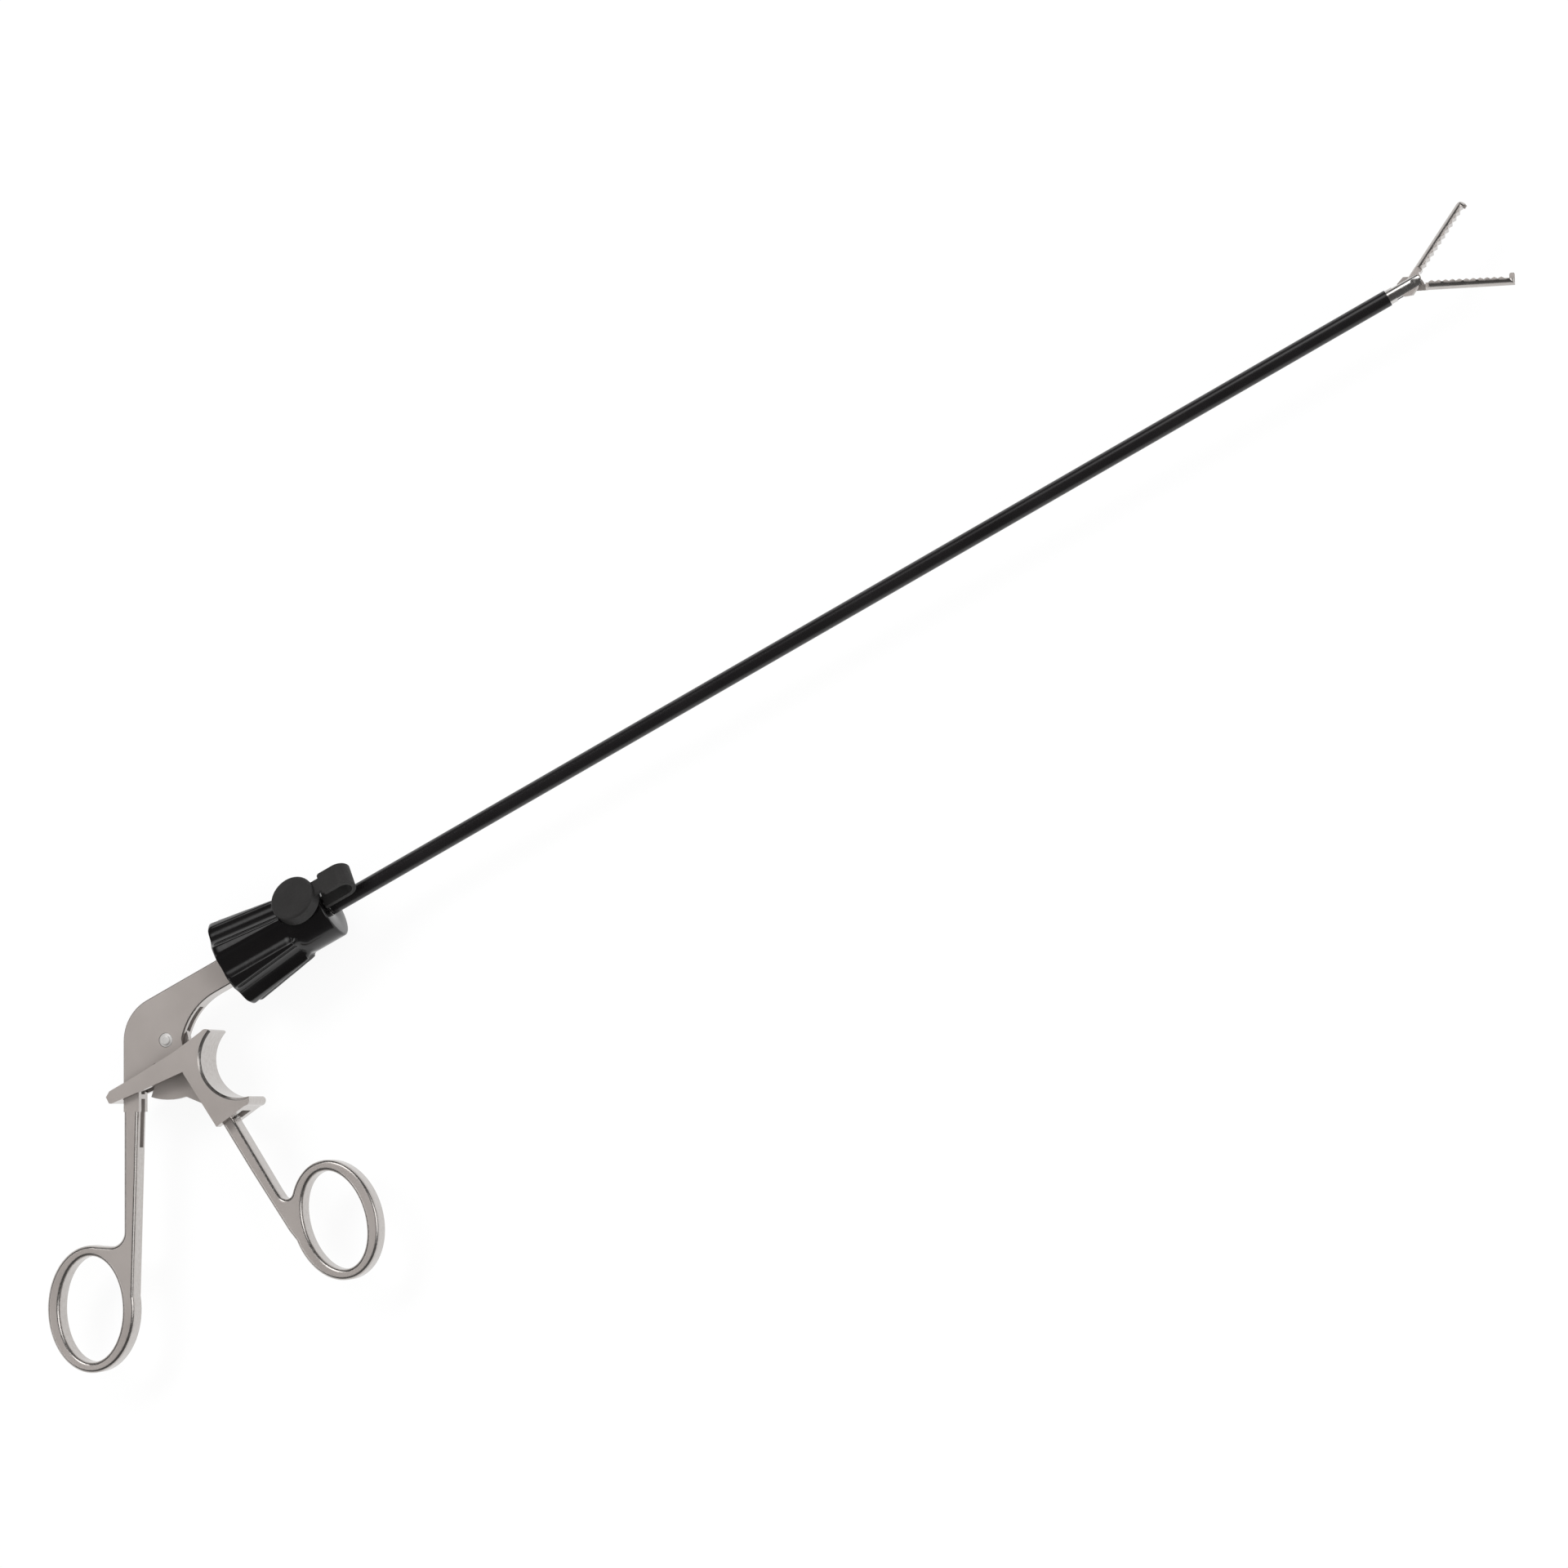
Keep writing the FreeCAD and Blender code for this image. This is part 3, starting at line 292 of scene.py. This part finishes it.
def satin_steel():
    """Blasted flats with polished edges, warm grey, with small handling marks."""
    f = Finish("satin_steel")
    flat = f.flatness()
    cloud = f.grain(38.0, detail=4.0)
    speck = f.grain(2600.0, detail=2.0)
    brush = f.grain(900.0, stretch=(0.06, 1.0, 1.0), detail=2.0)
    face = f.shades(cloud, (0.400, 0.362, 0.340), (0.465, 0.424, 0.400))
    edge = f.shades(brush, (0.470, 0.440, 0.420), (0.540, 0.512, 0.492))
    matt = f.spread(f.math("ADD", speck, cloud), 0.7, 1.3, 0.40, 0.52)
    polished = f.gloss(brush, 0.16, 0.27)
    f.put("Base Color", f.blend(flat, edge, face))
    f.put("Roughness", f.spread(flat, 0.0, 1.0, polished, matt))
    f.put("Metallic", f.spread(flat, 0.0, 1.0, 1.0, 0.45))
    f.bump(f.math("MULTIPLY", speck, flat), 0.22, 0.00004)
    return f.material


def polished_steel():
    """Bright turned steel with fine rings of tool marks across the shaft."""
    f = Finish("polished_steel", Metallic=1.0)
    turned = f.grain(2400.0, stretch=(1.0, 0.12, 0.12), detail=2.0)
    cloud = f.grain(120.0)
    f.put("Base Color", f.shades(cloud, (0.560, 0.540, 0.525), (0.680, 0.665, 0.650)))
    f.put("Roughness", f.gloss(turned, 0.14, 0.27))
    f.bump(turned, 0.12, 0.00002)
    return f.material


def highlight_painted_steel():
    """Steel of the pivot's head, painted pale as a painted highlight for its bright glint, with a fine rubbed
    grain in its roughness and bumps.
    """
    f = Finish("highlight_painted_steel", Metallic=0.35)
    rubbed = f.grain(1400.0)
    cloud = f.grain(160.0)
    # Pale colour on a barely metallic surface: a painted highlight on the pivot's head.
    f.put("Base Color", f.shades(cloud, (0.560, 0.545, 0.530), (0.700, 0.690, 0.680)))
    f.put("Roughness", f.gloss(rubbed, 0.26, 0.38))
    f.bump(rubbed, 0.12, 0.00002)
    return f.material


def knob_plastic():
    """Glossy black moulding with a faint orange-peel skin."""
    f = Finish("knob_plastic", IOR=1.5)
    peel = f.grain(420.0, detail=2.0)
    wear = f.grain(60.0, detail=5.0)
    f.put("Base Color", f.shades(wear, (0.0030, 0.0026, 0.0028), (0.0058, 0.0052, 0.0054)))
    f.put("Roughness", f.gloss(wear, 0.09, 0.17))
    f.bump(peel, 0.10, 0.00012)
    return f.material


def insulation():
    """Black insulation with long draw marks."""
    f = Finish("insulation", IOR=1.5)
    drawn = f.grain(700.0, stretch=(0.012, 1.0, 1.0))
    cloud = f.grain(45.0, detail=4.0)
    f.put("Base Color", f.shades(cloud, (0.0055, 0.0048, 0.0052), (0.0100, 0.0090, 0.0095)))
    f.put("Roughness", f.gloss(drawn, 0.20, 0.30))
    f.bump(drawn, 0.10, 0.00005)
    return f.material


def grey_silicone():
    """Soft dark grey silicone, matt, a little dusty."""
    f = Finish("grey_silicone", IOR=1.40)
    dust = f.grain(1500.0)
    cloud = f.grain(90.0, detail=4.0)
    f.put("Base Color", f.shades(cloud, (0.0150, 0.0143, 0.0140), (0.0215, 0.0204, 0.0200)))
    f.put("Roughness", f.gloss(dust, 0.52, 0.68))
    f.bump(dust, 0.15, 0.00004)
    return f.material


def black_rubber():
    """Plain black rubber of the seals."""
    f = Finish("black_rubber", IOR=1.5)
    cloud = f.grain(300.0, detail=4.0)
    f.put("Base Color", f.shades(cloud, (0.008, 0.008, 0.008), (0.016, 0.016, 0.016)))
    f.put("Roughness", f.gloss(cloud, 0.5, 0.7))
    f.bump(cloud, 0.12, 0.00005)
    return f.material


FINISHES = {
    "satin_steel": satin_steel(),
    "polished_steel": polished_steel(),
    "highlight_painted_steel": highlight_painted_steel(),
    "black_plastic": knob_plastic(),
    "insulation": insulation(),
    "grey_silicone": grey_silicone(),
    "black_rubber": black_rubber(),
}
SLOT_OF = {row["node"]: row["material_slot"] for row in frame["record"]["subparts"]}
BODIES = frame["record"]["behaviour"]["bodies"]
BODY_OF = {node: body for body, nodes in BODIES.items() for node in nodes}


# Helpers for pieces

def add_object(name, mesh):
    """A new object in the scene, at the origin."""
    obj = bpy.data.objects.new(name, mesh)
    bpy.context.scene.collection.objects.link(obj)
    return obj


def mesh_from(bm, name):
    """A new mesh with what was built, which is then freed."""
    mesh = bpy.data.meshes.new(name)
    bm.to_mesh(mesh)
    bm.free()
    return mesh


def paint(obj, slot):
    obj.data.materials.clear()
    obj.data.materials.append(FINISHES[slot])


def smooth(mesh, degrees):
    """Smooth shading, with a crease where the surface turns by more than the angle."""
    for polygon in mesh.polygons:
        polygon.use_smooth = True
    mesh.set_sharp_from_angle(angle=math.radians(degrees))


def settle(obj, name):
    """The object's evaluated shape as a new plain mesh."""
    depsgraph = bpy.context.evaluated_depsgraph_get()
    mesh = bpy.data.meshes.new_from_object(obj.evaluated_get(depsgraph))
    plain = add_object(name, mesh)
    bpy.data.objects.remove(obj)
    return plain


def give(obj, node):
    """The piece stands for its CAD node and takes its finish; it rides with its body, or, if listed in BENDS,
    is only baked in place.
    """
    if node in BENDS:
        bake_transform(obj)
    else:
        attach(obj, BODY_OF[node])
    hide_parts(node)
    paint(obj, SLOT_OF[node])


def soften(obj, edge_mm):
    """Rounds the piece's sharp edges."""
    bevel = obj.modifiers.new("edge", "BEVEL")
    bevel.width = edge_mm * MM
    bevel.segments = EDGE_SEGMENTS
    bevel.limit_method = "ANGLE"
    bevel.angle_limit = math.radians(CREASE_DEG)


def dress(node, edge_mm):
    """A merged copy of a CAD node with softened edges and smooth shading."""
    bm = bmesh.new()
    bm.from_mesh(frame["nodes"][node].data)
    bmesh.ops.remove_doubles(bm, verts=bm.verts, dist=CAD_WELD)
    bmesh.ops.dissolve_limit(bm, angle_limit=math.radians(FLAT_DEG), verts=bm.verts, edges=bm.edges)
    obj = add_object(node + "_dressed", mesh_from(bm, node + "_dressed"))
    if edge_mm:
        soften(obj, edge_mm)
        obj = settle(obj, node + "_piece")
    smooth(obj.data, CREASE_DEG)
    weigh = obj.modifiers.new("flat faces", "WEIGHTED_NORMAL")
    weigh.keep_sharp = True
    weigh.weight = 100
    obj = settle(obj, node + "_looks")
    give(obj, node)
    return obj


# Fluted knob

def arc_points(x, r, radius, start, end, steps):
    """Points of a rounded corner in the half plane of the profile."""
    found = []
    for k in range(steps + 1):
        a = math.radians(start + (end - start) * k / steps)
        found.append((x + radius * math.cos(a), r + radius * math.sin(a)))
    return found


def fluted_outline():
    """The knob's back face and cone: x, radius, and the flutes' bottom radius."""
    slope = (KNOB_BACK_R - FLUTE_FRONT_R) / (FLUTE_FRONT_X - KNOB_BACK_X)

    def cone(x):
        return KNOB_BACK_R - slope * (x - KNOB_BACK_X)

    rim_x = KNOB_BACK_X + RIM_ROUND
    end_x = FLUTE_FRONT_X - FLUTE_END_ROUND
    points = [(KNOB_BACK_X, CORE_R, 0.0), (KNOB_BACK_X, BACK_FACE_R, 0.0)]
    points.append((KNOB_BACK_X, FLUTE_START_R, KNOB_BACK_R - FLUTE_DEPTH))
    for x, r in arc_points(rim_x, KNOB_BACK_R - RIM_ROUND, RIM_ROUND, 180, 90, 10):
        points.append((x, r - slope * (x - KNOB_BACK_X), cone(x) - FLUTE_DEPTH))
    for k in range(1, CONE_ROWS):
        x = rim_x + (end_x - rim_x) * k / CONE_ROWS
        points.append((x, cone(x), cone(x) - FLUTE_DEPTH))
    for x, r in arc_points(end_x, FLUTE_FRONT_R - FLUTE_END_ROUND, FLUTE_END_ROUND, 90, 0, 5):
        points.append((x, r, FLUTE_FRONT_R - FLUTE_DEPTH))
    return points


def nose_outline():
    """The knob's plain nose, its mouth round the shaft and the room for the core."""
    points = [(NOSE_BACK_X, NOSE_R, 0.0)]
    points += [(-NOSE_ROW_STEP * k, NOSE_R, 0.0) for k in range(NOSE_ROWS, 0, -1)]
    round_x = NOSE_FRONT_X - NOSE_ROUND
    points += [(x, r, 0.0) for x, r in arc_points(round_x, NOSE_R - NOSE_ROUND, NOSE_ROUND, 90, 0, 6)]
    points += [(NOSE_FRONT_X, SHAFT_R + MOUTH_WIDER, 0.0), (NOSE_FRONT_X - MOUTH_DEPTH, SHAFT_R, 0.0)]
    points += [(CORE_FRONT_X, SHAFT_R, 0.0), (CORE_FRONT_X, CORE_R, 0.0), (KNOB_BACK_X, CORE_R, 0.0)]
    return points


KNOB_SOCKETS = {
    "Sides": "NodeSocketInt",
    "Flutes": "NodeSocketInt",
    "Flute radius": "NodeSocketFloat",
    "Flute turn": "NodeSocketFloat",
    "Softness": "NodeSocketFloat",
    "Finish": "NodeSocketMaterial",
}


def unrolled_grid(t, section, sides):
    """A flat grid with a column for each point of the section; also that point's index, and the turn."""
    size = t.add("GeometryNodeAttributeDomainSize", component="MESH")
    t.join(section, size.inputs[0])
    count = size.outputs["Point Count"]
    grid = t.add("GeometryNodeMeshGrid")
    grid.inputs["Size X"].default_value = 1.0
    grid.inputs["Size Y"].default_value = 1.0
    t.join(count, grid.inputs["Vertices X"])
    t.join(t.math("ADD", sides, 1.0), grid.inputs["Vertices Y"])
    across, around, _ = t.parts(t.add("GeometryNodeInputPosition").outputs[0])
    last = t.math("SUBTRACT", count, 1.0)
    index = t.math("ROUND", t.math("MULTIPLY", t.math("ADD", across, 0.5), last))
    turn = t.math("MULTIPLY", t.math("ADD", around, 0.5), math.tau)
    return grid.outputs["Mesh"], index, turn


def read_section(t, section, index):
    """The section's x, radius and flute bottom at one of its points."""
    sample = t.add("GeometryNodeSampleIndex", data_type="FLOAT_VECTOR", domain="POINT")
    t.join(section, sample.inputs["Geometry"])
    t.join(t.add("GeometryNodeInputPosition").outputs[0], sample.inputs["Value"])
    t.join(index, sample.inputs["Index"])
    return t.parts(sample.outputs[0])


def sink_flutes(t, given, turn, radius, bottom):
    """The radius at a turn, with round hollows sunk where the section has flutes."""
    flute_r = given["Flute radius"]
    half = t.math("MULTIPLY", t.math("DIVIDE", math.tau, given["Flutes"]), 0.5)
    away = t.math("WRAP", t.math("SUBTRACT", turn, given["Flute turn"]), half, t.math("MULTIPLY", half, -1.0))
    middle = t.math("ADD", bottom, flute_r)
    side = t.math("MULTIPLY", middle, t.math("SINE", away))
    square = t.math("SUBTRACT", t.math("POWER", flute_r, 2.0), t.math("MULTIPLY", side, side))
    reach = t.math("SQRT", t.math("MAXIMUM", square, 0.0))
    hollow = t.math("SUBTRACT", t.math("MULTIPLY", middle, t.math("COSINE", away)), reach)
    sunk = t.math("SMOOTH_MIN", radius, hollow, given["Softness"])
    fluted = t.math("GREATER_THAN", bottom, 0.0001)
    return t.math("ADD", radius, t.math("MULTIPLY", fluted, t.math("SUBTRACT", sunk, radius)))


def knob_tree():
    """Spins the section round the shaft's axis and sinks the flutes into it."""
    tree = bpy.data.node_groups.new("fluted_knob", "GeometryNodeTree")
    face = tree.interface
    face.new_socket("Geometry", in_out="INPUT", socket_type="NodeSocketGeometry")
    for name, kind in KNOB_SOCKETS.items():
        face.new_socket(name, in_out="INPUT", socket_type=kind)
    face.new_socket("Geometry", in_out="OUTPUT", socket_type="NodeSocketGeometry")
    t = Tree(tree)
    given = t.add("NodeGroupInput").outputs
    out = t.add("NodeGroupOutput").inputs
    grid, index, turn = unrolled_grid(t, given["Geometry"], given["Sides"])
    along, radius, bottom = read_section(t, given["Geometry"], index)
    radius = sink_flutes(t, given, turn, radius, bottom)
    place = t.add("ShaderNodeCombineXYZ")
    t.join(along, place.inputs[0])
    t.join(t.math("MULTIPLY", radius, t.math("SINE", turn)), place.inputs[1])
    t.join(t.math("MULTIPLY", radius, t.math("COSINE", turn)), place.inputs[2])
    put = t.add("GeometryNodeSetPosition")
    t.join(grid, put.inputs["Geometry"])
    t.join(place.outputs[0], put.inputs["Position"])
    merge = t.add("GeometryNodeMergeByDistance")
    merge.inputs["Distance"].default_value = KNOB_WELD
    t.join(put.outputs[0], merge.inputs["Geometry"])
    real = t.add("GeometryNodeRealizeInstances")
    t.join(merge.outputs[0], real.inputs[0])
    finish = t.add("GeometryNodeSetMaterial")
    t.join(real.outputs[0], finish.inputs["Geometry"])
    t.join(given["Finish"], finish.inputs["Material"])
    t.join(finish.outputs[0], out[0])
    return tree


def run_tree(obj, tree, values, name):
    """Puts a Geometry Nodes tree on the object and keeps its result as a plain mesh."""
    modifier = obj.modifiers.new(tree.name, "NODES")
    modifier.node_group = tree
    for item in tree.interface.items_tree:
        if item.in_out == "INPUT" and item.name in values:
            modifier[item.identifier] = values[item.name]
    return settle(obj, name)


def turned_drum(radius, base, top):
    """A plain round cutter on the port's axis."""
    bm = bmesh.new()
    bmesh.ops.create_cone(bm, cap_ends=True, segments=96, radius1=radius * MM, radius2=radius * MM,
                          depth=(top - base) * MM)
    bmesh.ops.translate(bm, verts=bm.verts, vec=(PORT_X * MM, 0, (top + base) / 2 * MM))
    bmesh.ops.rotate(bm, verts=bm.verts, cent=(0, 0, 0),
                     matrix=Matrix.Rotation(-math.radians(PORT_TILT_DEG), 3, "X"))
    return add_object("port_cutter", mesh_from(bm, "port_cutter"))


def knob_body():
    """The knob spun from its section, with every face pointing outwards."""
    points = [Vector(p) * MM for p in fluted_outline() + nose_outline()]
    mesh = bpy.data.meshes.new("knob_section")
    mesh.from_pydata(points, [(k, k + 1) for k in range(len(points) - 1)], [])
    knob = run_tree(add_object("knob_section", mesh), knob_tree(), {
        "Sides": KNOB_SIDES,
        "Flutes": FLUTES,
        "Flute radius": FLUTE_R * MM,
        "Flute turn": -math.radians(FLUTE_PHASE_DEG),
        "Softness": FLUTE_SOFTNESS * MM,
        "Finish": FINISHES["black_plastic"],
    }, "knob_body")
    bm = bmesh.new()
    bm.from_mesh(knob.data)
    bmesh.ops.recalc_face_normals(bm, faces=bm.faces)
    bm.to_mesh(knob.data)
    bm.free()
    return knob


def fluted_knob():
    """The knob with the rooms of the cap, the fitting and its seat cut out."""
    knob = knob_body()
    rooms = ((CAP_ROOM_R, CAP_ROOM_BASE), (FITTING_ROOM_R, FITTING_ROOM_BASE), (SEAT_ROOM_R, SEAT_ROOM_BASE))
    cutters = [turned_drum(radius, base, ROOM_TOP) for radius, base in rooms]
    for cutter in cutters:
        cut = knob.modifiers.new("port", "BOOLEAN")
        cut.operation = "DIFFERENCE"
        cut.solver = "EXACT"
        cut.object = cutter
    knob = settle(knob, "fluted_knob")
    for cutter in cutters:
        bpy.data.objects.remove(cutter)
    smooth(knob.data, KNOB_CREASE_DEG)
    give(knob, "rotation_knob")


# Floor, light and camera

def stage_floor():
    """White floor under the part that keeps its shadow."""
    low = min(CAD_BOX[0][2], CAD_BOX[1][2])
    bm = bmesh.new()
    bmesh.ops.create_grid(bm, x_segments=8, y_segments=8, size=FLOOR_HALF)
    bmesh.ops.translate(bm, verts=bm.verts, vec=(FLOOR_X, 0.0, low - FLOOR_GAP))
    floor = add_object("floor", mesh_from(bm, "floor"))
    material = bpy.data.materials.new("paper_white")
    material.use_nodes = True
    t = Tree(material.node_tree)
    t.tree.nodes.clear()
    path = t.add("ShaderNodeLightPath")
    mirrored = t.math("MAXIMUM", path.outputs["Is Glossy Ray"], path.outputs["Is Transmission Ray"])
    seen = t.math("MAXIMUM", path.outputs["Is Camera Ray"], mirrored)
    matt = t.add("ShaderNodeBsdfDiffuse")
    matt.inputs["Color"].default_value = FLOOR_MATT
    glow = t.add("ShaderNodeEmission")
    glow.inputs["Color"].default_value = FLOOR_WHITE
    mix = t.add("ShaderNodeMixShader")
    t.join(t.math("MULTIPLY", seen, FLOOR_GLOW), mix.inputs[0])
    t.join(matt.outputs[0], mix.inputs[1])
    t.join(glow.outputs[0], mix.inputs[2])
    out = t.add("ShaderNodeOutputMaterial")
    t.join(mix.outputs[0], out.inputs[0])
    floor.data.materials.append(material)


def softbox(name, at, towards, size, power):
    """A lamp that gloss doesn't mirror, because the world holds what gloss sees."""
    light = bpy.data.lights.new(name, "AREA")
    light.shape = "RECTANGLE"
    light.size, light.size_y = size
    light.energy = power
    lamp = add_object(name, light)
    lamp.location = at
    lamp.visible_glossy = False
    lamp.rotation_euler = (Vector(towards) - Vector(at)).to_track_quat("-Z", "Y").to_euler()


def ceiling_ramp(t, height):
    """The brightness that gloss sees at a height of its direction."""
    node = t.add("ShaderNodeValToRGB")
    ramp = node.color_ramp
    for place, (position, colour) in zip((0, 1), (CEILING[0], CEILING[-1])):
        ramp.elements[place].position = position
        ramp.elements[place].color = (*colour, 1)
    for position, colour in CEILING[1:-1]:
        ramp.elements.new(position).color = (*colour, 1)
    t.join(height, node.inputs[0])
    return node.outputs[0]


def surroundings():
    """Even light for matt surfaces; gloss sees a dark ceiling between bright walls."""
    world = bpy.data.worlds.new("studio")
    bpy.context.scene.world = world
    world.use_nodes = True
    t = Tree(world.node_tree)
    t.tree.nodes.clear()
    direction = t.add("ShaderNodeTexCoord").outputs["Generated"]
    seen = ceiling_ramp(t, t.parts(direction)[2])
    for towards, start, strength in CARDS:
        aim = t.add("ShaderNodeVectorMath", operation="DOT_PRODUCT")
        t.join(direction, aim.inputs[0])
        aim.inputs[1].default_value = Vector(towards).normalized()
        card = t.spread(aim.outputs["Value"], start, CARD_FULL, 0.0, strength)
        lit = t.add("ShaderNodeVectorMath", operation="ADD")
        t.join(seen, lit.inputs[0])
        t.join(card, lit.inputs[1])
        seen = lit.outputs[0]
    path = t.add("ShaderNodeLightPath")
    back = t.add("ShaderNodeBackground")
    t.join(t.blend(path.outputs["Is Glossy Ray"], ROOM_LIGHT, seen), back.inputs["Color"])
    out = t.add("ShaderNodeOutputWorld")
    t.join(back.outputs[0], out.inputs[0])


def camera():
    data = bpy.data.cameras.new("camera")
    data.sensor_width = CAMERA_SENSOR
    data.lens = CAMERA_LENS
    data.clip_start = 0.05
    data.clip_end = 20.0
    obj = add_object("camera", data)
    back = CAMERA_RIGHT.cross(CAMERA_UP).normalized()
    right = CAMERA_RIGHT.normalized()
    turn = Matrix((right, back.cross(right), back)).transposed().to_4x4()
    obj.matrix_world = Matrix.Translation(CAMERA_AT) @ turn
    bpy.context.scene.camera = obj


# The part, then what surrounds it

fluted_knob()
dressed = {node: dress(node, edge) for node, edge in DRESSED.items()}
# The pivot's head takes the pale steel finish: a painted highlight in place of its glint.
paint(dressed["pivot_screw"], "highlight_painted_steel")
for node, obj in frame["nodes"].items():
    paint(obj, SLOT_OF[node])

stage_floor()
surroundings()
for name, values in LAMPS.items():
    softbox(name, *values)
camera()
bpy.context.scene.view_settings.view_transform = "Standard"
